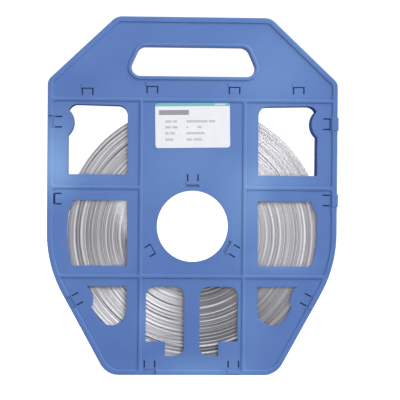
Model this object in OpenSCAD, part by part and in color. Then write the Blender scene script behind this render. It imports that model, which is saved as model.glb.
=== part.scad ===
// Coil of stainless steel banding in a moulded carrying case.
// The case is two half shells that snap together round the coil, which hangs on their hub.
// The case stands upright on its foot: X is to its right, Z is up and its front faces -Y.

/* [Case] */
// Width across the straight sides
case_w = 261; // [250:0.5:280]
// Height from the foot to the top of the handle
case_h = 322; // [316:0.5:340]
// Width of the flat foot between its round corners
foot_flat_w = 130; // [110:1:150]
// Radius of the two corners at the foot
foot_r = 19.5; // [10:0.5:24]
// Width of the flat top between its round corners
top_flat_w = 128.2; // [118:0.2:140]
// Radius of the corners at the top
top_r = 13; // [8:0.5:16]
// Radius of the corners at the shoulders
shoulder_r = 9; // [6:0.5:16]
// Height at which the straight sides give way to the shoulders
side_end_z = 260.3; // [250:0.1:268]
// Radius of the round sides between the straight sides and the slanting ones
belly_r = 112; // [90:0.5:125]
// Height at which the straight sides go over into the round ones
belly_z = 127.2; // [115:0.1:140]
// Thickness of the flat panels
panel_t = 2; // [1.5:0.1:3]
// Thickness of the walls that stand between the panels
wall_t = 2; // [1.2:0.1:3]
// Free depth for the band on each side of it
band_clearance = 1; // [0.5:0.1:2]

/* [Rim and ribs] */
// Width of the raised rim along the edge
rim_w = 5; // [3:0.1:6]
// Height of the rim, the ribs and the bead above the panel
rib_rise = 1.2; // [0.6:0.1:2]
// Width of the raised ribs
rib_w = 3.6; // [2:0.1:5]
// Distance of each upright rib from the middle
rib_x = 46.6; // [44:0.2:50]
// Height of the rib below the handle
top_rib_z = 247.6; // [244:0.1:250]
// Height of the ribs between the upper and middle windows
mid_rib_z = 168.7; // [164:0.1:174]
// Height of the rib below the hub
low_rib_z = 88.9; // [86:0.1:91]

/* [Hand hole] */
// Height of the hand hole's lower edge
grip_z = 268.8; // [266:0.1:272]
// Height of the hand hole itself
grip_h = 26.6; // [24:0.2:30]
// Width of the hand hole's flat lower edge
grip_low_w = 95.2; // [80:0.2:104]
// Width of the hand hole's flat upper edge
grip_high_w = 85.8; // [70:0.2:92]
// Radius of the hand hole's lower corners
grip_low_r = 8; // [6:0.1:12]
// Radius of the hand hole's upper corners
grip_high_r = 8; // [6:0.1:12]
// Width of the raised bead round the hand hole
bead_w = 3.4; // [2.4:0.1:4]
// How much wider the hand hole is in the back half
grip_ease = 0.9; // [0:0.1:1.2]

/* [Hub] */
// Height of the hub's centre
hub_z = 134; // [130:0.5:137]
// Radius of the hole in the hub's front
hub_bore_r = 32; // [25:0.1:34]
// Lip of the hub's front over the tube behind it
hub_lip = 1.5; // [0.5:0.1:1.5]
// Outer radius of the drum that carries the coil
drum_r = 39.6; // [37.5:0.1:42]

/* [Windows] */
// Flat left between an upright rib and the windows beside it
window_side_land = 10.5; // [8:0.1:12]
// Flat left below the top rib
upper_window_drop = 3.6; // [1:0.1:5]
// Rise of the upper window's top edge towards the side of the case
upper_window_rise = 0.8; // [0:0.1:2]
// Flat left between the middle rib and the upper window
upper_window_land = 9.7; // [7:0.1:12]
// Distance from the side of the case to the upper window
upper_window_inset = 18.2; // [15:0.1:22]
// Flat left between the middle rib and the middle window
middle_window_drop = 10.2; // [7:0.1:13]
// Flat left between the low rib and the windows above and below it
low_rib_land = 7.5; // [5:0.1:9]
// Distance from the side of the case to the middle window
middle_window_inset = 18.1; // [14:0.1:20]
// Distance from the slanting side to the lower window
lower_window_inset = 17.6; // [15:0.1:20]
// Radius of the lower window's round end
lower_window_r = 13.8; // [10:0.1:15]
// Width of the web between the two foot windows
web_w = 14; // [10:0.2:20]
// Flat left between the upright rib and the foot window
foot_window_land = 3.4; // [2:0.1:6]
// Height of the foot windows' lower edge
foot_window_z = 16.9; // [15:0.1:20]
// Height of the step in the foot windows' lower edge
foot_window_step = 13.2; // [8:0.1:20]
// Width of the foot windows below that step
foot_window_leg_w = 17; // [14:0.1:22]
// Radius of the windows' large round corners
window_r = 8.5; // [5:0.1:10]
// Radius of the windows' small corners
window_corner_r = 1; // [0.4:0.1:2]

/* [Snaps] */
// Height of the upper snaps on the sides
upper_snap_z = 227; // [222:0.1:230]
// Height of the lower snaps on the sides
lower_snap_z = 158.1; // [154:0.1:162]
// Distance up the slanting side from the foot to its snap
slant_snap_d = 61; // [55:0.5:66]
// Distance of the foot's snaps from the middle
foot_snap_x = 37.8; // [30:0.1:40]
// Distance from the middle to the inner snaps below the handle
inner_grip_snap_x = 37; // [25:0.5:42]
// Distance from the middle to the outer snaps below the handle
outer_grip_snap_x = 95; // [85:0.5:105]
// How far the inner snaps below the handle sit above their row
inner_grip_snap_rise = 0.8; // [0:0.1:1.5]
// How far the right outer snap sits above the row, and the left one below it
outer_grip_snap_skew = 1.3; // [0:0.1:2]
// Distance between the middles of the two slits beside a tongue
slit_pitch = 9.4; // [7:0.1:12]
// Length of the slits
slit_l = 6.4; // [4:0.1:8]
// Width of the slits
slit_w = 1.2; // [0.8:0.1:2]
// Distance from the edge of the case to a tongue's tip
tongue_inset = 6.6; // [6.1:0.1:8]
// Radius of the round flat that carries a side snap
boss_r = 16.3; // [12:0.1:18]
// Width of the seat beyond a tongue
seat_w = 11.6; // [9:0.1:14]
// Length of the seat beyond a tongue
seat_l = 3.8; // [2.5:0.1:4.5]
// Distance from the edge of the case to a seat
seat_inset = 0.9; // [0.5:0.1:1.5]
// How far the seats on the right side stand out past the edge of the case
seat_over = 0.8; // [0.2:0.1:1.2]
// How far a sunk seat runs past the rim's inner edge
pocket_over = 0.4; // [0.2:0.1:1]
// Gap between a tongue's tip and the seat on the panel beyond it
seat_gap = 0.2; // [0.1:0.1:1]
// Height of a raised seat above what it stands on
seat_rise = 0.6; // [0.2:0.1:1]
// Depth of a sunk seat below the rim
seat_drop = 1.8; // [1.2:0.1:2]
// Length of the raised seats on the hub
hub_seat_l = 2.9; // [2:0.1:4]
// Length of the pocket beyond a raised seat on the hub
hub_pocket_l = 2.4; // [1:0.1:3]
// Depth of that pocket
hub_pocket_depth = 1.2; // [0.5:0.1:1.4]
// Gap between a tongue's tip and the inner wall that it snaps on
tongue_gap = 1.1; // [0.5:0.1:2]
// Width of the slit across a tongue's tip
tip_slit_w = 0.7; // [0.4:0.1:1]
// Width of the wide slit across the lower left tongue's tip
wide_tip_slit_w = 1.9; // [1.2:0.1:2]
// How far a catch reaches past the slits beside its tongue
catch_over = 0.8; // [0.5:0.1:1.5]
// How far the catches at the foot reach under their tongues
foot_catch_l = 4.2; // [2:0.1:4.5]
// Gap between a catch and the tongue above it
catch_gap = 1.5; // [1:0.1:3]
// Free space between the coil and the catches on the slanting sides
catch_play = 0.6; // [0.3:0.1:2]

/* [Band] */
// Width of the band
band_w = 16; // [10:0.5:20]
// Free space between the coil and the walls at the sides of the case
coil_side_room = 11.1; // [10.3:0.1:25]
// Free space between the coil and the wall at the foot
coil_foot_room = 7; // [4:0.1:20]
// Radius of the coil's bore
coil_bore_r = 47.5; // [45:0.1:55]
// How far the coil hangs to the right of the hub
coil_x = 1; // [0:0.1:3]
// Play between the drum and the coil where it hangs
hang_gap = 0.3; // [0.1:0.05:0.5]
// Number of groups of turns that show as steps on the ends
wrap_count = 26; // [8:1:40]
// Depth of the deepest step on the ends
wrap_step = 0.9; // [0.2:0.1:1.5]

/* [Label] */
// Width of the label
label_w = 67.2; // [50:0.5:80]
// Height of the label
label_h = 40.3; // [30:0.1:50]
// Flat left between the top rib and the label
label_drop = 0.8; // [0.5:0.1:5]
// How far the label sits to the left of the middle
label_shift = 0.5; // [0:0.1:5]
// Degrees by which the label is stuck on out of level
label_turn = 1; // [0:0.1:1.2]
// Thickness of the label
label_t = 0.2; // [0.1:0.05:0.5]
// Radius of the label's corners
label_r = 2.5; // [1:0.1:4]

/* [Hidden] */
$fn = 144;
OVER = 1;                                   // how far a cut runs past what it cuts

side_x = case_w / 2;
hub = [0, hub_z];
chamber_half = band_w / 2 + band_clearance;
panel_middle = chamber_half + panel_t / 2;
panel_top = chamber_half + panel_t;
rim_top = panel_top + rib_rise;
hub_tube_r = hub_bore_r + hub_lip;
coil_z = hub_z - sqrt((coil_bore_r - drum_r - hang_gap) ^ 2 - coil_x ^ 2);
coil_r = min(side_x - coil_side_room, coil_z - coil_foot_room) - wall_t;
rib_in_x = rib_x - rib_w / 2;
rib_out_x = rib_x + rib_w / 2;

// Discs are [x, z, radius], in the order in which a belt runs round them, anticlockwise
foot_disc = [foot_flat_w / 2, foot_r, foot_r];
body_disc = [side_x - belly_r, belly_z, belly_r];
shoulder_disc = [side_x - shoulder_r, side_end_z, shoulder_r];
top_disc = [top_flat_w / 2, case_h - top_r, top_r];
grip_low_disc = [grip_low_w / 2, grip_z + grip_low_r, grip_low_r];
grip_high_disc = [grip_high_w / 2, grip_z + grip_h - grip_high_r, grip_high_r];
function mirrored(d) = [-d.x, d.y, d.z];
case_discs = [foot_disc, body_disc, shoulder_disc, top_disc,
              mirrored(top_disc), mirrored(shoulder_disc), mirrored(body_disc), mirrored(foot_disc)];
grip_discs = [grip_low_disc, grip_high_disc, mirrored(grip_high_disc), mirrored(grip_low_disc)];

// Direction of the outward normal of the belt between two discs
function belt_angle(a, b) =
    let (v = [b.x - a.x, b.y - a.y]) atan2(v.y, v.x) - acos((a.z - b.z) / norm(v));
function towards(angle) = [cos(angle), sin(angle)];
function on_disc(d, angle, grow) = [d.x, d.y] + (d.z + grow) * towards(angle);

// The slanting side, and where something of a given inset from it lies
slant_angle = belt_angle(foot_disc, body_disc);
slant_normal = towards(slant_angle);
slant_foot = on_disc(foot_disc, slant_angle, 0);
function slant_x(z, inset) =
    slant_foot.x - (inset - slant_normal.y * (slant_foot.y - z)) / slant_normal.x;
function slant_z(x, inset) =
    slant_foot.y - (inset - slant_normal.x * (slant_foot.x - x)) / slant_normal.y;
slant_snap = slant_foot + slant_snap_d * towards(slant_angle + 90);

// Snaps are [edge point, outward direction, width of the slit across the tip, seat: 1 raised,
// -1 sunk, 0 none, where the seat begins and ends, how far the catch reaches under the tongue]
full_catch_l = slit_l + catch_over;
slant_room = (slant_foot - [coil_x, coil_z]) * slant_normal - coil_r - tongue_inset;
slant_catch_l = min(full_catch_l, slant_room - catch_play);
grip_snap_z = grip_z - bead_w;
divider_z = grip_snap_z + outer_grip_snap_skew - tongue_inset + tongue_gap;
hub_snap_r = drum_r - tongue_inset + tongue_gap;
rim_seat = [seat_inset, seat_inset + seat_l];
rim_pocket = [seat_inset, rim_w + pocket_over];
panel_seat_end = tongue_inset - seat_gap;
grip_seat = [panel_seat_end - seat_l, panel_seat_end];
hub_seat = [panel_seat_end - hub_seat_l, panel_seat_end];
RIM_SNAPS = [
    [[side_x, upper_snap_z], 0, tip_slit_w, 1, [-seat_over, rim_w + pocket_over], full_catch_l],
    [[side_x, lower_snap_z], 0, 0, 1, [-seat_over, seat_inset + seat_l], full_catch_l],
    [slant_snap, slant_angle, 0, 1, rim_seat, slant_catch_l],
    [[foot_snap_x, 0], -90, 0, 1, rim_seat, foot_catch_l],
    [[-foot_snap_x, 0], -90, 0, -1, rim_pocket, foot_catch_l],
    [[-slant_snap.x, slant_snap.y], 180 - slant_angle, 0, -1, rim_pocket, slant_catch_l],
    [[-side_x, lower_snap_z], 180, wide_tip_slit_w, 0, rim_seat, full_catch_l],
    [[-side_x, upper_snap_z], 180, 0, -1, rim_pocket, full_catch_l],
];
GRIP_SNAPS = [
    for (g = [[-outer_grip_snap_x, -outer_grip_snap_skew], [-inner_grip_snap_x, inner_grip_snap_rise],
              [inner_grip_snap_x, inner_grip_snap_rise], [outer_grip_snap_x, outer_grip_snap_skew]])
        [[g.x, grip_snap_z + g.y], 90, tip_slit_w, 1, grip_seat, full_catch_l],
];
HUB_SNAPS = [
    [hub + hub_snap_r * towards(90), -90, 0, 1, hub_seat, 0],
    [hub + hub_snap_r * towards(210), 30, tip_slit_w, 0, hub_seat, full_catch_l],
    [hub + hub_snap_r * towards(330), 150, 0, 1, hub_seat, full_catch_l],
];

// Flat shape of a belt drawn tight round discs
module belt(discs, grow = 0) {
    n = len(discs);
    polygon([for (i = [0 : n - 1], next = [0, 1])
        on_disc(discs[i], belt_angle(discs[(i + n - 1 + next) % n], discs[(i + next) % n]), grow)]);
    for (d = discs) translate([d.x, d.y]) circle(r = d.z + grow);
}

module slab(z0, z1) translate([0, 0, z0]) linear_extrude(z1 - z0) children();

module both_sides() {
    children();
    mirror([1, 0, 0]) children();
}

module round_wall(r) difference() {
    circle(r = r);
    circle(r = r - wall_t);
}

// One tray with its rim standing above the sunk panel
module tray() difference() {
    slab(0, rim_top) belt(case_discs);
    slab(-OVER, chamber_half) belt(case_discs, -wall_t);
    slab(panel_top, rim_top + OVER) belt(case_discs, -rim_w);
}

module rib_lines() {
    for (z = [top_rib_z, low_rib_z]) translate([-side_x, z - rib_w / 2]) square([case_w, rib_w]);
    both_sides() {
        translate([rib_in_x, 0]) square([rib_w, top_rib_z]);
        translate([rib_x, mid_rib_z - rib_w / 2]) square([side_x - rib_x, rib_w]);
    }
}

module ribs() intersection() {
    slab(panel_middle, rim_top) rib_lines();
    slab(0, rim_top + OVER) belt(case_discs, -rim_w / 2);
}

// Walls inside the tray: the drum, the tube of the hub's hole, the lining of the hand hole
// and the wall that closes the chamber below the handle
module inner_walls(grip_grow) {
    slab(0, panel_middle) {
        translate(hub) {
            round_wall(drum_r);
            round_wall(hub_tube_r + wall_t);
        }
        belt(grip_discs, grip_grow + wall_t);
    }
    intersection() {
        slab(0, panel_middle) translate([-side_x, divider_z]) square([case_w, wall_t]);
        slab(-OVER, rim_top) belt(case_discs, -wall_t / 2);
    }
}

// Where a window's disc of radius r touches a rib or the slanting side
window_x = rib_out_x + window_side_land;
upper_z0 = mid_rib_z + rib_w / 2 + upper_window_land;
upper_z1 = top_rib_z - rib_w / 2 - upper_window_drop;
upper_x1 = side_x - upper_window_inset;
middle_z0 = low_rib_z + rib_w / 2 + low_rib_land;
middle_z1 = mid_rib_z - rib_w / 2 - middle_window_drop;
lower_z1 = low_rib_z - rib_w / 2 - low_rib_land;
foot_x1 = rib_in_x - foot_window_land;
boss_x = side_x - tongue_inset - slit_w / 2;

module upper_window() {
    r = window_corner_r;
    belt([[window_x + r, upper_z0 + r, r],
          [upper_x1 - r, upper_z0 + r, r],
          [upper_x1 - window_r, upper_z1 + upper_window_rise - window_r, window_r],
          [window_x + window_r, upper_z1 - window_r, window_r]]);
}

module middle_window() intersection() {
    translate([window_x, middle_z0]) square([side_x, middle_z1 - middle_z0]);
    belt([body_disc, [body_disc.x, side_end_z, belly_r]], -middle_window_inset);
}

module lower_window() {
    r = window_corner_r;
    end_x = window_x + lower_window_r;
    belt([[end_x, slant_z(end_x, lower_window_inset + lower_window_r), lower_window_r],
          [slant_x(lower_z1 - r, lower_window_inset + r), lower_z1 - r, r],
          [window_x + r, lower_z1 - r, r]]);
}

module foot_window() {
    r = window_corner_r;
    leg_x = web_w / 2 + foot_window_leg_w;
    step_z = foot_window_z + foot_window_step;
    belt([[web_w / 2 + r, step_z + r, r],
          [foot_x1 - r, step_z + r, r],
          [foot_x1 - window_r, lower_z1 - window_r, window_r],
          [web_w / 2 + window_r, lower_z1 - window_r, window_r]]);
    belt([[web_w / 2 + window_r, foot_window_z + window_r, window_r],
          [leg_x - r, foot_window_z + r, r],
          [leg_x - r, step_z + window_r, r],
          [web_w / 2 + r, step_z + window_r, r]]);
}

module windows() both_sides() {
    difference() {
        union() {
            upper_window();
            middle_window();
            lower_window();
        }
        for (z = [upper_snap_z, lower_snap_z]) translate([boss_x, z]) circle(r = boss_r);
        translate(slant_snap - (side_x - boss_x) * slant_normal) circle(r = boss_r);
    }
    foot_window();
}

module at_snap(s) translate([s[0].x, s[0].y, 0]) rotate(s[1]) children();

module slits(s) at_snap(s) slab(chamber_half - OVER, panel_top + OVER) {
    for (side = [-1, 1])
        translate([-tongue_inset - slit_l, (side * slit_pitch - slit_w) / 2]) square([slit_l, slit_w]);
    if (s[2] > 0) translate([-tongue_inset - tip_slit_w, -slit_pitch / 2]) square([s[2], slit_pitch]);
}

module seat(s, z0, z1) at_snap(s) slab(z0, z1)
    translate([-s[4][1], -seat_w / 2]) square([s[4][1] - s[4][0], seat_w]);

module hub_pocket(s) at_snap(s) slab(panel_top - hub_pocket_depth, panel_top + OVER)
    translate([-s[4][0], -seat_w / 2]) square([hub_pocket_l, seat_w]);

// Ledge inside the tray that the hook of a tongue grips, standing out from the wall at its tip
module catch(s, wall_x) at_snap(s) slab(0, chamber_half - catch_gap) {
    inner_x = -tongue_inset - s[5];
    w = slit_pitch + slit_w + 2 * catch_over;
    if (s[5] > 0) translate([inner_x, -w / 2]) square([wall_x - inner_x, w]);
}

// One moulding, lying on its open side with its face up
module half_shell(grip_grow, hub_hole_r) difference() {
    union() {
        tray();
        ribs();
        inner_walls(grip_grow);
        for (s = RIM_SNAPS) catch(s, -wall_t / 2);
        for (s = GRIP_SNAPS) catch(s, divider_z + wall_t / 2 - s[0].y);
        for (s = HUB_SNAPS) catch(s, tongue_gap - tongue_inset + wall_t / 2);
        slab(panel_middle, rim_top) belt(grip_discs, bead_w);
        for (s = RIM_SNAPS) if (s[3] > 0) seat(s, panel_middle, rim_top + seat_rise);
        for (s = [each GRIP_SNAPS, each HUB_SNAPS]) if (s[3] > 0)
            seat(s, panel_middle, panel_top + seat_rise);
    }
    slab(-OVER, rim_top + OVER) {
        belt(grip_discs, grip_grow);
        translate(hub) circle(r = hub_hole_r);
    }
    slab(-OVER, chamber_half) translate(hub) circle(r = hub_tube_r);
    slab(chamber_half - OVER, rim_top + OVER) windows();
    for (s = RIM_SNAPS) {
        slits(s);
        if (s[3] < 0) seat(s, rim_top - seat_drop, rim_top + OVER);
    }
    for (s = GRIP_SNAPS) slits(s);
    for (s = HUB_SNAPS) {
        slits(s);
        if (s[3] > 0) hub_pocket(s);
    }
}

module stand_up() rotate([90, 0, 0]) children();

module front_half() color("cornflowerblue") stand_up() half_shell(0, hub_bore_r);

// Turned half round; its holes are wider, so they hide behind those of the front half
module back_half() color("royalblue") rotate(180) stand_up() half_shell(grip_ease, hub_tube_r);

// The band's turns lie a little to one side or the other in groups, which shows as steps
wrap_pitch = (coil_r - coil_bore_r) / wrap_count;
function wrap_shift(i) = wrap_step / 2 * sin(i * 137.5);
function wrap_end(i, side) = [for (edge = [0, 1])
    [coil_bore_r + (i + (side > 0 ? 1 - edge : edge)) * wrap_pitch, side * band_w / 2 + wrap_shift(i)]];
coil_section = [
    for (i = [0 : wrap_count - 1]) each wrap_end(i, -1),
    for (i = [wrap_count - 1 : -1 : 0]) each wrap_end(i, 1),
];

module band_coil() color("silver") translate([coil_x, 0, coil_z]) stand_up()
    rotate_extrude() polygon(coil_section);

module label() color("white") stand_up() slab(panel_top, panel_top + label_t) {
    x = label_w / 2 - label_r;
    z = label_h / 2 - label_r;
    translate([-label_shift, top_rib_z - rib_w / 2 - label_drop - label_h / 2]) rotate(label_turn)
        belt([[x, -z, label_r], [x, z, label_r], [-x, z, label_r], [-x, -z, label_r]]);
}

front_half();
back_half();
band_coil();
label();
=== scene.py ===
"""A moulded carrying case of two rounded half shells, the steel band in it, and its label."""

import math
from functools import partial

import bmesh
import bpy
from bpy.props import FloatProperty, FloatVectorProperty, IntProperty, PointerProperty
from mathutils import Matrix, Vector


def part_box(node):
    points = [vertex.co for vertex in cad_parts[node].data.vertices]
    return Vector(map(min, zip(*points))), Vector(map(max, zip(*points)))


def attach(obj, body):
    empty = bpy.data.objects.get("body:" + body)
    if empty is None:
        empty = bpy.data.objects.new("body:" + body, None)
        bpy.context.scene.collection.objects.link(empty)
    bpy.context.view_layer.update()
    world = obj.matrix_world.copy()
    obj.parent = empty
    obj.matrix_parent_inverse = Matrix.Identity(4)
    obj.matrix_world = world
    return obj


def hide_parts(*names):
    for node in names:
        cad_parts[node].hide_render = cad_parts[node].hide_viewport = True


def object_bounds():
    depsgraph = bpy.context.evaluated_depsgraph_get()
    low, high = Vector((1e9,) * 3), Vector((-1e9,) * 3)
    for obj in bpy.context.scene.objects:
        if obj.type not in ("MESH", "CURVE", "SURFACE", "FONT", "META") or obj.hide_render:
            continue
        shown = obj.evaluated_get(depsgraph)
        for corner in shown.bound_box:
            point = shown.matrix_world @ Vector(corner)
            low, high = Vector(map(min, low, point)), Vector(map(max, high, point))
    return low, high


bl_info = {
    "name": "Banding Case",
    "version": (1, 0, 0),
    "blender": (4, 5, 0),
    "location": "View3D > Sidebar > Banding",
    "description": "Dresses a moulded carrying case and the coil of steel band inside it",
    "category": "Object",
}

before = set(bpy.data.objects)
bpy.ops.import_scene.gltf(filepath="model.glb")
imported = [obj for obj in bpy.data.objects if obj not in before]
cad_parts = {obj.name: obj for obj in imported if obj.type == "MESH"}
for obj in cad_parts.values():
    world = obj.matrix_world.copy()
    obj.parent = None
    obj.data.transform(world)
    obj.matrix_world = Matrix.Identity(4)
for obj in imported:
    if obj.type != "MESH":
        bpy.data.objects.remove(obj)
CAD_LOW, CAD_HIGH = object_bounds()

MM = 0.001
HALF_SHELLS = ("front_half", "back_half")
COIL_LOW, COIL_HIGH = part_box("band_coil")
COIL_CENTRE = (COIL_LOW + COIL_HIGH) / 2
LABEL_LOW, LABEL_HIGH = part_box("label")
# The label was stuck on a little crooked, its right end higher
LABEL_TURN = math.radians(1)


def turned_size(low, high, turn):
    """Width and height of a rectangle that stands turned within its box."""
    wide, tall = high.x - low.x, high.z - low.z
    across, along = math.cos(turn), math.sin(turn)
    square = across**2 - along**2
    return (wide * across - tall * along) / square, (tall * across - wide * along) / square


LABEL_WIDTH, LABEL_HEIGHT = turned_size(LABEL_LOW, LABEL_HIGH, LABEL_TURN)


def bore_radius(node, centre):
    """Radius of the hole through a ring that stands on edge round centre."""
    return min(
        math.hypot(v.co.x - centre.x, v.co.z - centre.z)
        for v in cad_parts[node].data.vertices
    )


COIL_BORE = bore_radius("band_coil", COIL_CENTRE)


# ---------------------------------------------------------------- settings


class CaseSettings(bpy.types.PropertyGroup):
    """Colours and roundings of the moulded case"""

    plastic: FloatVectorProperty(
        name="Plastic",
        description="Colour of the moulded case where it is deepest",
        subtype="COLOR",
        size=3,
        min=0,
        max=1,
        default=(0.064, 0.132, 0.360),
    )
    # Top of the plastic's tone, where the random tone and the pools of painted light are palest
    pale_and_lit_plastic: FloatVectorProperty(
        name="Pale plastic",
        description="Colour of the case where the moulding is palest",
        subtype="COLOR",
        size=3,
        min=0,
        max=1,
        default=(0.162, 0.292, 0.550),
    )
    # Painted shade and glow: the inner walls' deeper, more violet copy of the plastic
    inner_shade: FloatVectorProperty(
        name="Inner shade",
        description="Colour of the shaded inner walls, where light comes through the plastic",
        subtype="COLOR",
        size=3,
        min=0,
        max=1,
        default=(0.100, 0.135, 0.560),
    )
    # Painted highlight: how much paler the rounded edges are painted than the faces beside them
    edge_highlight: FloatProperty(
        name="Edge highlight",
        description="How much paler the handled edges are than the faces beside them",
        default=0.10,
        min=0,
        max=1,
    )
    rim_round: FloatProperty(
        name="Rim rounding",
        description="Radius of the outer edge of the rim",
        unit="LENGTH",
        default=0.9 * MM,
        min=0.1 * MM,
        max=1.5 * MM,
    )
    rib_round: FloatProperty(
        name="Rib rounding",
        description="Radius of the edges of the ribs and of the rim's inner edge",
        unit="LENGTH",
        default=1.1 * MM,
        min=0.1 * MM,
        max=1.15 * MM,
    )
    edge_round: FloatProperty(
        name="Edge rounding",
        description="Radius of the edges of the windows",
        unit="LENGTH",
        default=0.35 * MM,
        min=0.05 * MM,
        max=0.5 * MM,
    )
    seat_round: FloatProperty(
        name="Seat rounding",
        description="Radius of the edges of the snap seats on the rim",
        unit="LENGTH",
        default=0.4 * MM,
        min=0.05 * MM,
        max=0.5 * MM,
    )
    pocket_round: FloatProperty(
        name="Pocket rounding",
        description="Radius of the edges of the sunk seats in the rim",
        unit="LENGTH",
        default=0.3 * MM,
        min=0.05 * MM,
        max=0.35 * MM,
    )
    slit_round: FloatProperty(
        name="Slit rounding",
        description="Radius of the edges of the small slits, seats and pockets in the panel",
        unit="LENGTH",
        default=0.15 * MM,
        min=0.05 * MM,
        max=0.18 * MM,
    )
    seam_round: FloatProperty(
        name="Seam rounding",
        description="Radius of the edges where the two half shells meet",
        unit="LENGTH",
        default=0.3 * MM,
        min=0.05 * MM,
        max=0.5 * MM,
    )


class BandSettings(bpy.types.PropertyGroup):
    """Sizes and winding of the steel band"""

    turns: IntProperty(
        name="Turns",
        description="Number of turns of band in the coil",
        default=147,
        min=20,
        max=160,
    )
    thickness: FloatProperty(
        name="Band thickness",
        description="Thickness of the band",
        unit="LENGTH",
        default=0.4 * MM,
        min=0.2 * MM,
        max=0.8 * MM,
    )
    width: FloatProperty(
        name="Band width",
        description="Width of the band",
        unit="LENGTH",
        default=16 * MM,
        min=5 * MM,
        max=20 * MM,
    )
    points: IntProperty(
        name="Points along the band",
        description="Number of points along the whole wound band",
        default=12300,
        min=2000,
        max=12400,
    )
    stagger: FloatProperty(
        name="Stagger",
        description="How far groups of turns stand out sideways",
        unit="LENGTH",
        default=0.4 * MM,
        min=0,
        max=0.8 * MM,
    )
    seed: IntProperty(
        name="Winding seed",
        description="Picks which turns stand out",
        default=7,
        min=0,
    )


class LabelSettings(bpy.types.PropertyGroup):
    """Colours of the label"""

    paper: FloatVectorProperty(
        name="Paper",
        description="Colour of the label's paper",
        subtype="COLOR",
        size=3,
        min=0,
        max=1,
        default=(0.680, 0.680, 0.730),
    )
    heading: FloatVectorProperty(
        name="Heading band",
        description="Colour of the band along the label's top",
        subtype="COLOR",
        size=3,
        min=0,
        max=1,
        default=(0.122, 0.400, 0.428),
    )
    ink: FloatVectorProperty(
        name="Ink",
        description="Colour of the generic printed bars",
        subtype="COLOR",
        size=3,
        min=0,
        max=1,
        default=(0.150, 0.150, 0.170),
    )


class StageSettings(bpy.types.PropertyGroup):
    """Floor, lights and lens"""

    floor_radius: FloatProperty(
        name="Floor radius",
        description="Radius of the plain floor",
        unit="LENGTH",
        default=30,
        min=2,
    )
    surround: FloatProperty(
        name="Surround",
        description="Strength of the soft white light from all sides",
        default=0.52,
        min=0,
    )
    backdrop: FloatProperty(
        name="Backdrop",
        description="Brightness of the white backdrop",
        default=1.1,
        min=0,
    )
    floor_glow: FloatProperty(
        name="Floor glow",
        description="Brightness of the white floor's own glow",
        default=0.95,
        min=0,
    )
    key_power: FloatProperty(
        name="Key light",
        description="Power of the large soft light above and to the right",
        unit="POWER",
        default=112,
        min=0,
    )
    fill_power: FloatProperty(
        name="Fill light",
        description="Power of the soft light in front",
        unit="POWER",
        default=6,
        min=0,
    )
    lens: FloatProperty(
        name="Lens",
        description="Focal length of the camera",
        unit="CAMERA",
        default=130.26,
        min=20,
    )


# ---------------------------------------------------------------- node helpers


def new_material(name):
    """A material with nodes, its tree and its Principled shader."""
    material = bpy.data.materials.new(name)
    material.use_nodes = True
    shader = material.node_tree.nodes["Principled BSDF"]
    return material, material.node_tree, shader


def add_node(tree, kind, values=None, links=None, **settings):
    """Adds a node, sets its fields, sets its sockets' values and links sockets into it."""
    node = tree.nodes.new(kind)
    for field, value in settings.items():
        setattr(node, field, value)
    for socket, value in (values or {}).items():
        node.inputs[socket].default_value = value
    for socket, source in (links or {}).items():
        tree.links.new(source, node.inputs[socket])
    return node


def feed(tree, socket, value):
    """Links another socket into a socket, or sets its value."""
    if isinstance(value, bpy.types.NodeSocket):
        tree.links.new(value, socket)
    else:
        socket.default_value = value


def math_of(tree, operation, *terms):
    """Output of a Math node on numbers or sockets."""
    node = add_node(tree, "ShaderNodeMath", operation=operation)
    for socket, term in zip(node.inputs, terms):
        feed(tree, socket, term)
    return node.outputs[0]


def object_place(tree):
    """The point's place on the object, in metres."""
    return add_node(tree, "ShaderNodeTexCoord").outputs["Object"]


def noise(tree, place, scale, detail=2.0, roughness=0.5):
    """Cloudy pattern between 0 and 1, finer as its scale grows."""
    node = add_node(
        tree,
        "ShaderNodeTexNoise",
        values={"Scale": scale, "Detail": detail, "Roughness": roughness},
        links={"Vector": place},
    )
    return node.outputs["Fac"]


def spread(tree, source, low, high, to_low=0.0, to_high=1.0):
    """Maps low..high of a socket to to_low..to_high, and holds it there."""
    node = add_node(
        tree,
        "ShaderNodeMapRange",
        values={"From Min": low, "From Max": high, "To Min": to_low, "To Max": to_high},
        links={"Value": source},
    )
    return node.outputs["Result"]


# Places of the Mix node's factor, its two colours and its result among its sockets
MIX_FACTOR, MIX_COLOURS, MIX_RESULT = 0, (6, 7), 2


def mixed(tree, factor, first, second):
    """Colour between two colours or colour sockets."""
    node = add_node(tree, "ShaderNodeMix", data_type="RGBA")
    feed(tree, node.inputs[MIX_FACTOR], factor)
    for socket, colour in zip(MIX_COLOURS, (first, second)):
        is_socket = isinstance(colour, bpy.types.NodeSocket)
        feed(tree, node.inputs[socket], colour if is_socket else (*colour, 1.0))
    return node.outputs[MIX_RESULT]


def bumped(tree, shader, height, distance, strength):
    """Gives the surface the small relief of a height."""
    node = add_node(
        tree,
        "ShaderNodeBump",
        values={"Strength": strength, "Distance": distance},
        links={"Height": height},
    )
    tree.links.new(node.outputs["Normal"], shader.inputs["Normal"])


# ---------------------------------------------------------------- materials


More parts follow.
